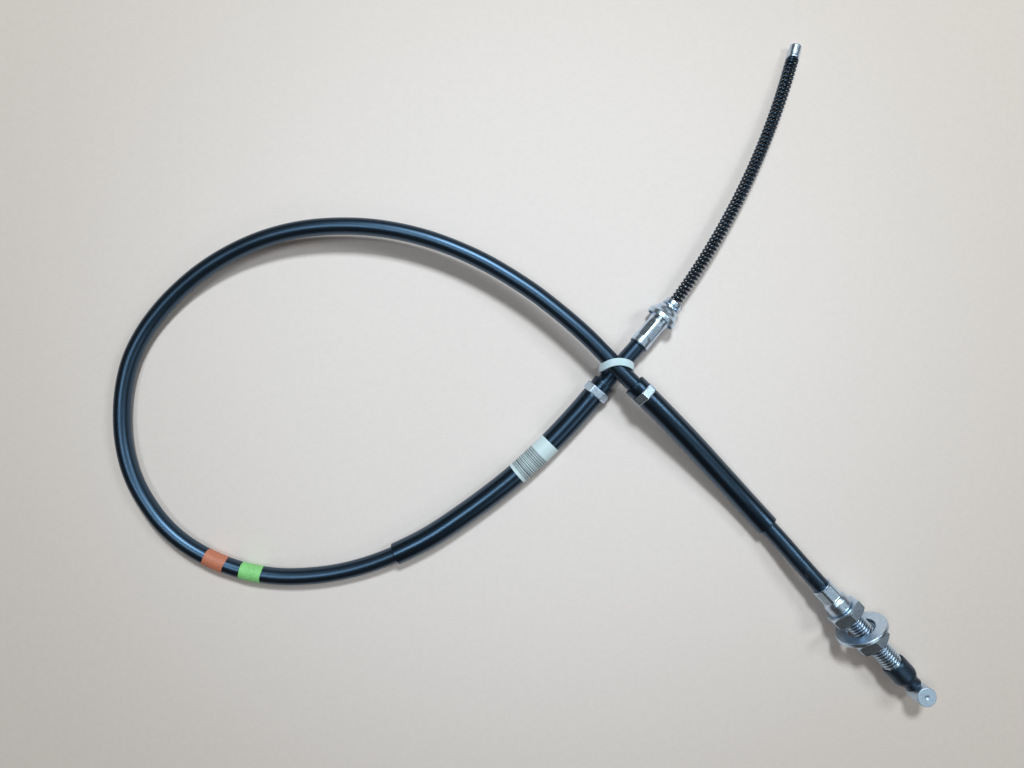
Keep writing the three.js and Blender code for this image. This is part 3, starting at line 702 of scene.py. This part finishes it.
def hose(name, span, ring, node):
    """A closed sleeve: out along its skin, back along its bore, and waisted under its crimped ring."""
    start, end = span
    corners = [(start, HOSE_RADIUS), (end, HOSE_RADIUS), (end, HOSE_BORE), (start, HOSE_BORE)]
    outline = refined(eased(corners, 0.35 * MM, loop=True), 2 * MM, loop=True)
    distance, radius = outline[:, 0], outline[:, 1].copy()
    outer = radius > (HOSE_RADIUS + HOSE_BORE) / 2
    waist = np.exp(-((distance - ring) / (2.4 * MM)) ** 2)
    shoulder = np.exp(-((distance - ring) / (5.5 * MM)) ** 2)
    radius[outer] += (-0.75 * waist * MM + 0.22 * shoulder * MM)[outer]
    grid = conduit.swept(distance + FITTING_INSERTION, radius, turns(40))
    return surface(name, grid, hose_rubber, "casing", distance, loop=True, replaces=[node])


def hex_radius(angles, flats, turn, blend):
    """Distance from the middle to a hexagon's side at an angle: the soft minimum of its two nearest sides."""
    sides = np.arange(6) * np.pi / 3
    reach = np.cos(angles[..., None] - turn - np.pi / 6 - sides)
    reach = np.sort(np.where(reach > 0.3, reach, 0.3), axis=-1)
    first, second = flats / 2 / reach[..., -1], flats / 2 / reach[..., -2]
    return soft_min(first, second, blend)


def crimp_ring(name, place, turn, node):
    """A hexagonal band: the outer outline is the hexagon where it stands over the hose, with rounded edges."""
    half = RING_WIDTH / 2
    outer, inner = RING_FLATS / np.sqrt(3), HOSE_RADIUS - 0.15 * MM
    outline = eased([(-half, inner), (-half, outer), (half, outer), (half, inner)], 0.35 * MM, loop=True)
    outline = refined(outline, 0.5 * MM, loop=True)
    angles = turns(120)
    hexagon = hex_radius(angles, RING_FLATS, turn, 0.35 * MM)
    edge = smooth(half - np.abs(outline[:, 0]), 0, 0.4 * MM)[:, None]
    limit = hexagon[None, :] - 0.25 * MM * (1 - edge)
    radius = np.minimum(outline[:, 1][:, None], limit)
    grid = conduit.swept(outline[:, 0] + place + FITTING_INSERTION, radius, angles)
    return surface(name, grid, pressed_zinc, "casing", outline[:, 0], loop=True, replaces=[node])


def sleeve(name, span, inner, outer, finish, node, waver=0.0):
    """A thin closed sleeve on the conduit, such as a label or tape. Its ends waver by a sine round it."""
    start, end = span
    outline = refined(eased([(start, inner), (start, outer), (end, outer), (end, inner)], 0.1 * MM, 3, True),
                      1.5 * MM, True)
    angles = turns(48)
    middle = (start + end) / 2
    shift = waver * np.sin(2 * angles + 0.6) * np.sin(angles)
    distance = outline[:, 0][:, None] + shift[None, :] * np.sign(outline[:, 0] - middle)[:, None]
    grid = np.stack([
        conduit.swept(distance[:, k] + FITTING_INSERTION, outline[:, 1], angles[k:k + 1])[:, 0]
        for k in range(len(angles))
    ], axis=1)
    return surface(name, grid, finish, "casing", outline[:, 0], loop=True, replaces=[node])


def band_span(centre):
    """Where a tape band starts and ends."""
    return centre - BAND_WIDTH / 2, centre + BAND_WIDTH / 2


sheath_piece = conduit_sheath()
wheel_hose = hose("wheel_hose_skin", WHEEL_HOSE, WHEEL_RING, "wheel_hose")
lever_hose = hose("lever_hose_skin", LEVER_HOSE, LEVER_RING, "lever_hose")
wheel_ring = crimp_ring("wheel_crimp_ring", WHEEL_RING, WHEEL_RING_TURN, "wheel_hose_ring")
lever_ring = crimp_ring("lever_crimp_ring", LEVER_RING, LEVER_RING_TURN, "lever_hose_ring")
label = sleeve("bar_label", LABEL, HOSE_RADIUS - SLEEVE_SINK, HOSE_RADIUS + LABEL_THICKNESS, label_film,
               "hose_label")
green, orange = (
    sleeve(name, band_span(centre), JACKET_RADIUS - SLEEVE_SINK, JACKET_RADIUS + TAPE_THICKNESS, tape, node,
           TAPE_WAVER)
    for name, centre, tape, node in (
        ("green_tape_band", GREEN_BAND, green_tape, "green_band"),
        ("orange_tape_band", ORANGE_BAND, orange_tape, "orange_band"),
    )
)


# Crossing tie

def crossing():
    """Where the conduit passes over itself from above: the first pair of its chords that cut each other."""
    marks = np.linspace(0, conduit.length, 700)
    points = conduit.at(marks)
    flat, heights = points[:, :2], points[:, 2]
    step = np.diff(flat, axis=0)
    between = flat[None, :-1] - flat[:-1, None]
    cross = step[:, None, 0] * step[None, :, 1] - step[:, None, 1] * step[None, :, 0]
    cross[cross == 0] = np.inf
    t = (between[..., 0] * step[None, :, 1] - between[..., 1] * step[None, :, 0]) / cross
    u = (between[..., 0] * step[:, None, 1] - between[..., 1] * step[:, None, 0]) / cross
    hit = (t >= 0) & (t <= 1) & (u >= 0) & (u <= 1)
    rows, columns = np.nonzero(hit & (np.arange(len(step))[:, None] + 1 < np.arange(len(step))[None, :]))
    first, second = rows[0], columns[0]
    spot = flat[first] + t[first, second] * step[first]
    return spot, heights[first], heights[second]


def tie():
    """A strap round both branches: a long round outline whose top leans and bows towards the fitting, with a
    rounded flat section carried along it."""
    spot, low, high = crossing()
    middle = JACKET_RADIUS + TIE_GAP + TIE_THICKNESS / 2
    a = turns(96)
    wide = TIE_HALF_SPAN + TIE_THICKNESS / 2
    across = wide * powered(np.cos(a), 0.85)
    height = (high + low) / 2 + ((high - low) / 2 + middle) * powered(np.sin(a), 0.8)
    top = smooth(height, low, high + middle)
    bow = TIE_LEAN * top - TIE_BOW * top * (across / wide) ** 2
    along_plane, square = heading(TIE_HEADING), heading(TIE_HEADING + 90)
    base = np.array([*(spot + TIE_SHIFT), 0.0])
    line = base + across[:, None] * along_plane + bow[:, None] * square + height[:, None] * UP
    tangent = unit(np.roll(line, -1, axis=0) - np.roll(line, 1, axis=0))
    wide_way = np.broadcast_to(square, tangent.shape)
    wide_way = unit(wide_way - (wide_way * tangent).sum(axis=1, keepdims=True) * tangent)
    out = np.cross(tangent, wide_way)
    corners = [(-1, -1), (1, -1), (1, 1), (-1, 1)]
    section = eased([(x * TIE_WIDTH / 2, y * TIE_THICKNESS / 2) for x, y in corners], TIE_ROUNDING, 5, True)
    grid = line[:, None] + section[None, :, :1] * wide_way[:, None] + section[None, :, 1:] * out[:, None]
    return surface("crossing_strap", grid, tie_nylon, "casing", a * wide, loop=True, replaces=["crossing_tie"])


strap = tie()


# Wheel end

def turned(name, line, outline, finish, body, node=None, angles=None, shape=None, loop=False, zero=0.0,
           sharp=38):
    """A turned piece: an outline of (distance, radius) carried round a line, its radii changed by shape."""
    angles = turns(72) if angles is None else angles
    radius = np.repeat(outline[:, 1][:, None], len(angles), axis=1)
    if shape:
        radius = shape(outline[:, 0][:, None], angles[None, :], radius)
    grid = line.swept(outline[:, 0] + zero, radius, angles)
    return surface(name, grid, finish, body, outline[:, 0], loop, sharp, [node] if node else [])


def crimped(flats, start, end, turn, ramp=0.8 * MM):
    """A change of radius that presses six flats between two places: the smaller of round and hexagon."""
    def press(distance, angles, radius):
        hexagon = hex_radius(angles, flats, turn, 0.15 * MM)
        depth = smooth(distance, start - ramp, start) * (1 - smooth(distance, end, end + ramp))
        pressed = soft_min(radius, hexagon + 0 * radius, 0.1 * MM)
        return np.where(radius > flats * 0.46, radius + depth * (pressed - radius), radius)
    return press


def fitting():
    """Body, cupped flange, cone, clip groove and collar in one outline, with six pressed flats."""
    body, flange, cone, collar = FITTING_BODY, FLANGE_RADIUS, CONE_RADIUS, COLLAR_RADIUS
    cup = FLANGE_START + 1.3 * MM
    corners = [
        (0, FITTING_BORE), (0, body), (17.6 * MM, body), (cup, body + 0.5 * MM), (cup, flange - 1.1 * MM),
        (FLANGE_START, flange - 1.0 * MM), (FLANGE_START, flange), (FLANGE_END - 1.9 * MM, flange),
        (FLANGE_END, FLANGE_SHOULDER), (CONE_END - 1.8 * MM, cone + 0.7 * MM), (CONE_END, cone - 0.5 * MM),
        (CONE_END, collar), (GROOVE[0], collar), (GROOVE[0], GROOVE_RADIUS), (GROOVE[1], GROOVE_RADIUS),
        (GROOVE[1], collar), (FITTING_LENGTH, collar), (FITTING_LENGTH, SEAT_RADIUS),
        (FITTING_LENGTH - SPRING_SEAT, SEAT_RADIUS), (FITTING_LENGTH - SPRING_SEAT, FITTING_WIRE_BORE),
        (FITTING_INSERTION + 0.3 * MM, FITTING_WIRE_BORE), (FITTING_INSERTION + 0.3 * MM, FITTING_BORE),
    ]
    outline = refined(eased(corners, 0.3 * MM, 4, True), 0.7 * MM, True)
    press = crimped(CRIMP_FLATS, *CRIMP, CRIMP_TURN)
    return turned("backplate_fitting_skin", fitting_line, outline, zinc, "casing", "backplate_fitting",
                  turns(120), press, loop=True)


def mouth_ring():
    """The conduit's sheath spreads a little where the fitting is pressed over it."""
    corners = [(-1.3 * MM, 5.0 * MM), (-1.0 * MM, 5.65 * MM), (-0.1 * MM, 5.75 * MM), (-0.05 * MM, 4.6 * MM),
               (-1.2 * MM, 4.6 * MM)]
    outline = eased(corners, 0.3 * MM, 4, True)
    return turned("sheath_mouth_ring", fitting_line, outline, hose_rubber, "casing", loop=True)


def clip():
    """An open ring: a rounded square section carried round the groove, its ears turned out."""
    half = np.radians(CLIP_OPENING / 2)
    a = np.linspace(half, TURN - half, 90)
    ends = np.minimum(a - half, TURN - half - a)
    ear = np.exp(-(ends / 0.16) ** 2)
    middle = (GROOVE[0] + GROOVE[1]) / 2
    inner = GROOVE_RADIUS + 0.15 * MM
    outer = CLIP_RADIUS + 0.25 * MM * ear
    point, tangent, side, above = fitting_line.frame(np.full(len(a), middle))
    direction = above * np.cos(a)[:, None] + side * np.sin(a)[:, None]
    centre = point + direction * ((inner + outer) / 2)[:, None]
    t = turns(12)
    tall = ((outer - inner) / 2)[:, None] * powered(np.cos(t), 0.45)[None, :]
    wide = np.broadcast_to(CLIP_WIDTH / 2 * powered(np.sin(t), 0.45)[None, :], tall.shape)
    grid = centre[:, None] + tall[..., None] * direction[:, None] + wide[..., None] * tangent[:, None]
    first = np.repeat(grid[:1].mean(axis=1, keepdims=True), len(t), axis=1)
    last = np.repeat(grid[-1:].mean(axis=1, keepdims=True), len(t), axis=1)
    grid = np.concatenate([first, grid, last])
    return surface("groove_clip", grid, pressed_zinc, "casing", replaces=["fitting_clip"])


def spring():
    """A wire's round section carried along a right-hand helix on the arc, its coils closer at both ends."""
    per_coil, sides = 26, 8
    turn = np.linspace(0, SPRING_COILS, SPRING_COILS * per_coil + 1)
    span = SPRING_END - SPRING_START - SPRING_WIRE
    pitch = (span - 2 * SPRING_END_COILS * SPRING_END_PITCH) / (SPRING_COILS - 2 * SPRING_END_COILS)
    first = np.minimum(turn, SPRING_END_COILS)
    last = np.maximum(0, turn - SPRING_COILS + SPRING_END_COILS)
    distance = SPRING_START + SPRING_WIRE + (first + last) * SPRING_END_PITCH + (turn - first - last) * pitch
    centre, _, outward = on_arc(distance)
    a = (TURN * turn)[:, None]
    radial = outward * np.cos(a) - arc_normal * np.sin(a)
    line = centre + SPRING_RADIUS * radial
    tangent = unit(np.gradient(line, axis=0))
    radial = unit(radial - (radial * tangent).sum(axis=1, keepdims=True) * tangent)
    binormal = np.cross(tangent, radial)
    t = turns(sides)
    ring = radial[:, None] * np.cos(t)[None, :, None] + binormal[:, None] * np.sin(t)[None, :, None]
    first_cap, last_cap = (np.repeat(line[[k]][:, None], sides, axis=1) for k in (0, -1))
    grid = np.concatenate([first_cap, line[:, None] + SPRING_WIRE * ring, last_cap])
    wire_length = np.concatenate([[0], turn * TURN * SPRING_RADIUS, [SPRING_COILS * TURN * SPRING_RADIUS]])
    piece = surface("return_spring_coil", grid, spring_coat, None, wire_length)
    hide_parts("return_spring")
    start, end = on_arc(np.array([SPRING_START, SPRING_END]))[0]
    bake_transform(piece)
    return piece


def stranded(name, line, span, body, node, zero=0.0):
    """A wire rope: the radius has hollows between its outer strands, and they wind round."""
    start, end = span
    distance = np.concatenate([[start], np.arange(start, end, 0.7 * MM), [end, end]])
    angles = turns(56)
    phase = OUTER_STRANDS / 2 * (angles[None, :] - TURN * distance[:, None] / ROPE_LAY)
    radius = WIRE_RADIUS * (0.87 + 0.13 * np.abs(np.sin(phase)) ** 0.6)
    radius[[0, -1]] = 0
    grid = line.swept(distance + zero, radius, angles)
    return surface(name, grid, wire_steel, body, distance, replaces=[node])


def button():
    """A short pressed stop on the wire's end, open at the spring's side."""
    corners = [(0, 2.1 * MM), (0, BUTTON_RADIUS), (BUTTON_LENGTH, BUTTON_RADIUS), (BUTTON_LENGTH, 0)]
    outline = eased(corners, 0.5 * MM, 6)
    inner = np.array([(6 * MM, 0), (6 * MM, 2.0 * MM), (0, 2.1 * MM)])
    outline = np.concatenate([inner[:2], outline])
    zero = BUTTON_START + SPRING_LINE_ZERO

    def rim(distance, angles, radius):
        """A rolled rim at the spring's side and a faint waist behind it."""
        lift = 0.12 * MM * np.exp(-((distance - 0.8 * MM) / (0.5 * MM)) ** 2)
        return np.where(radius > 3 * MM, radius - 0.12 * MM + lift, radius)

    outline = refined(outline, 0.5 * MM)
    return turned("wheel_end_button", spring_line, outline, zinc, "wheel_end", "wheel_button", turns(56), rim,
                  zero=zero)


fitting()
mouth_ring()
clip()
spring()
stranded("wheel_wire_rope", spring_line, WHEEL_ROPE, "wheel_end", "wheel_wire", SPRING_LINE_ZERO)
button()


# Lever end

def threaded(distance, angles, radius):
    """The thread: the radius falls by a trapezium wave of distance / pitch + turns, and fades at its ends."""
    wave = np.abs(((distance / THREAD_PITCH + angles / TURN) % 1.0) * 2 - 1)
    cut = THREAD_DEPTH * np.clip((wave - 0.1) / 0.72, 0, 1)
    start = ADJUSTER_COLLAR[1]
    ending = smooth(distance, THREAD_END - THREAD_CHAMFER, THREAD_END)
    fade = smooth(distance, start, start + 1.2 * MM) * (1 - ending)
    return np.where((radius > 0.8 * THREAD_RADIUS) & (distance > start), radius - cut * fade, radius)


def adjuster():
    """Ferrule, collar and threaded tube in one outline, with six flats pressed over the conduit."""
    collar_start, collar_end = ADJUSTER_COLLAR
    corners = [
        (0, FITTING_BORE), (0, FERRULE_RADIUS), (FERRULE_END, FERRULE_RADIUS),
        (collar_start, ADJUSTER_COLLAR_RADIUS - 0.3 * MM), (collar_start + 0.8 * MM, ADJUSTER_COLLAR_RADIUS),
        (collar_end, ADJUSTER_COLLAR_RADIUS), (collar_end, THREAD_RADIUS),
        (THREAD_END - THREAD_CHAMFER, THREAD_RADIUS),
        (THREAD_END, THREAD_RADIUS - THREAD_CHAMFER), (THREAD_END, ADJUSTER_BORE),
        (ADJUSTER_INSERTION + 0.3 * MM, ADJUSTER_BORE),
        (ADJUSTER_INSERTION + 0.3 * MM, FITTING_BORE),
    ]
    outline = refined(eased(corners, 0.3 * MM, 4, True), 0.16 * MM, True)
    press = crimped(FERRULE_CRIMP_FLATS, *FERRULE_CRIMP, FERRULE_CRIMP_TURN)

    def shape(distance, angles, radius):
        return threaded(distance, angles, press(distance, angles, radius))

    return turned("threaded_adjuster", adjuster_line, outline, threaded_zinc, "casing", "adjuster", turns(96),
                  shape, loop=True, sharp=60)


def nut(name, start, body, node):
    """A chamfered nut: the outer radius is the smallest of the hexagon and a cone at each end."""
    corner = NUT_FLATS / np.sqrt(3)
    ring = [(0, NUT_BORE + NUT_BEVEL), (0, corner + 0.3 * MM), (NUT_THICKNESS, corner + 0.3 * MM),
            (NUT_THICKNESS, NUT_BORE + NUT_BEVEL), (NUT_THICKNESS - NUT_BEVEL, NUT_BORE), (NUT_BEVEL, NUT_BORE)]
    outline = refined(np.array(ring), 0.3 * MM, True)

    def shape(distance, angles, radius):
        hexagon = hex_radius(angles + 0 * distance, NUT_FLATS, np.pi / 2, 0.25 * MM)
        near = np.minimum(distance, NUT_THICKNESS - distance)
        cone = NUT_FLATS / 2 - 0.15 * MM + near * 1.75
        return soft_min(np.minimum(radius, corner + 0.3 * MM), soft_min(hexagon, cone, 0.12 * MM), 0.12 * MM)

    return turned(name, adjuster_line, outline, pressed_zinc, body, node, turns(144), shape, loop=True,
                  zero=start, sharp=30)


def washer():
    """A flat ring with rolled edges, turned about the upright and the level axis, as it hangs."""
    corners = [(-WASHER_HALF, WASHER_HOLE + 0.5 * MM), (-WASHER_HALF, WASHER_RADIUS - 0.1 * MM),
               (WASHER_HALF, WASHER_RADIUS), (WASHER_HALF, WASHER_HOLE)]
    outline = refined(eased(corners, 0.6 * MM, 6, True), 0.8 * MM, True)
    angles = turns(120)
    _, axis, side, above = adjuster_line.frame(np.array(WASHER_CENTRE))
    yaw, lean = -np.radians(WASHER_YAW), -np.radians(WASHER_LEAN)
    up, left = above, np.cross(axis, above)
    about_up = np.cos(yaw) * left + np.sin(yaw) * axis
    facing = np.cos(yaw) * axis - np.sin(yaw) * left
    tilted_up = np.cos(lean) * up - np.sin(lean) * facing
    face = np.cos(lean) * facing + np.sin(lean) * up
    centre = adjuster_line.at(WASHER_CENTRE) + WASHER_RISE * UP
    ring = tilted_up * np.cos(angles)[:, None] + about_up * np.sin(angles)[:, None]
    grid = centre + outline[:, 0][:, None, None] * face + outline[:, 1][:, None, None] * ring[None]
    return surface("loose_washer", grid, zinc, "washer", outline[:, 1], loop=True, replaces=["plain_washer"])


def boot():
    """A wide skirt over the thread's end, a taper and a narrow neck with a lip round the wire."""
    corners = [
        (BOOT_START, BOOT_MOUTH), (BOOT_START, BOOT_RADIUS - 0.3 * MM), (BOOT_START + 1.6 * MM, BOOT_RADIUS),
        (BOOT_SKIRT_END, BOOT_RADIUS - 0.05 * MM), (BOOT_TAPER_END - 1.6 * MM, BOOT_TAPER_RADIUS + 0.7 * MM),
        (BOOT_TAPER_END - 0.5 * MM, BOOT_TAPER_RADIUS - 0.1 * MM),
        (BOOT_TAPER_END, BOOT_NECK_RADIUS + 0.1 * MM),
        (BOOT_TAPER_END + 0.6 * MM, BOOT_NECK_RADIUS), (BOOT_NECK_END - 1.2 * MM, BOOT_NECK_RADIUS),
        (BOOT_NECK_END - 0.4 * MM, BOOT_NECK_RADIUS + 0.3 * MM), (BOOT_NECK_END, BOOT_NECK_RADIUS),
        (BOOT_NECK_END, BOOT_WIRE_BORE), (BOOT_TAPER_END - 0.4 * MM, BOOT_WIRE_BORE),
        (BOOT_TAPER_END - 2.6 * MM, BOOT_TAPER_RADIUS - BOOT_WALL), (BOOT_SKIRT_END, BOOT_RADIUS - BOOT_WALL),
        (THREAD_END + 0.3 * MM, BOOT_MOUTH),
    ]
    outline = refined(eased(corners, 0.5 * MM, 5, True), 1 * MM, True)
    return turned("rubber_boot", adjuster_line, outline, boot_rubber, "casing", "lever_boot", loop=True)


def barrel():
    """The barrel stands upright on its own line; its top has a small centre mark."""
    foot = adjuster_line.at(BARREL_CENTRE) - BARREL_HALF * UP
    line = Path([foot, foot + 2 * BARREL_HALF * UP], up=adjuster_axis)
    corners = [
        (0, 0), (0, BARREL_RADIUS), (2 * BARREL_HALF, BARREL_RADIUS), (2 * BARREL_HALF, 1.4 * MM),
        (2 * BARREL_HALF - 0.45 * MM, 0.5 * MM), (2 * BARREL_HALF - 0.6 * MM, 0),
    ]
    outline = refined(eased(corners, 0.55 * MM, 6), 0.5 * MM)
    return turned("barrel_pin", line, outline, barrel_zinc, "lever_end", "barrel_end", turns(80))


adjuster()
nut("inner_lock_nut", INNER_NUT_START, "lock_nut_inner", "inner_nut")
nut("outer_lock_nut", OUTER_NUT_START, "lock_nut_outer", "outer_nut")
washer()
boot()
stranded("lever_wire_rope", adjuster_line, LEVER_ROPE, "lever_end", "lever_wire")
barrel()

for node, finish in (
    ("conduit_armour", wound_steel), ("conduit_liner", liner_nylon), ("inner_wire", wire_steel),
):
    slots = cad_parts[node].data.materials
    slots.clear()
    slots.append(finish.material)

conduit.at(sheath_marks()).tolist()


# Floor and light

def floor():
    """A wide square of pale paper, its colour darker away from the middle as painted shade for the light's
    fall-off.
    """
    corners = [(x * FLOOR_HALF, y * FLOOR_HALF, 0) for x, y in ((-1, -1), (1, -1), (1, 1), (-1, 1))]
    mesh = bpy.data.meshes.new("paper_floor")
    mesh.from_pydata(corners, [], [(0, 1, 2, 3)])
    sheet = bpy.data.objects.new("paper_floor", mesh)
    finish = Finish("pale paper", "floor", Roughness=0.85)
    place = finish.place()
    fibre = finish.noise(place, 260.0, 6.0, 0.65)
    away = finish.make("ShaderNodeVectorMath", {"operation": "LENGTH"}, {0: place}, output="Value")
    # Painted shade: the paper's colour darkens between 0.08 m and 0.38 m from the middle, standing in for light
    # that falls off
    rim = away.between(0.08, 0.38)
    pale = finish.mix(rim, (0.88, 0.79, 0.755), (0.73, 0.63, 0.57))
    dull = finish.mix(rim, (0.79, 0.715, 0.68), (0.66, 0.57, 0.51))
    finish.colour(finish.mix(fibre, pale, dull))
    sheet.data.materials.append(finish.material)
    bpy.context.scene.collection.objects.link(sheet)


def lamp(name, azimuth, elevation, distance, size, power):
    """A soft rectangle of light that faces the floor's middle, from an azimuth (0 is +X) and an elevation."""
    data = bpy.data.lights.new(name, "AREA")
    data.shape = "RECTANGLE"
    data.size, data.size_y = size
    data.energy = power
    data.color = DAYLIGHT
    piece = bpy.data.objects.new(name, data)
    direction = heading(azimuth) * np.cos(np.radians(elevation)) + UP * np.sin(np.radians(elevation))
    piece.location = direction * distance
    piece.rotation_euler = (np.radians(90 - elevation), 0, np.radians(azimuth + 90))
    bpy.context.scene.collection.objects.link(piece)


def room():
    """A dim warm room: it lights the shadows, and shows darker in what is glossy."""
    world = bpy.data.worlds.new("room")
    world.use_nodes = True
    nodes, links = world.node_tree.nodes, world.node_tree.links
    nodes["Background"].inputs["Color"].default_value = ROOM_COLOUR
    ray = nodes.new("ShaderNodeLightPath")
    strength = nodes.new("ShaderNodeMapRange")
    strength.inputs["To Min"].default_value = ROOM_STRENGTH
    strength.inputs["To Max"].default_value = ROOM_GLOSS
    links.new(ray.outputs["Is Glossy Ray"], strength.inputs["Value"])
    links.new(strength.outputs["Result"], nodes["Background"].inputs["Strength"])
    bpy.context.scene.world = world


floor()
for settings in LAMPS:
    lamp(*settings)
room()
bpy.context.scene.view_settings.view_transform = "Standard"
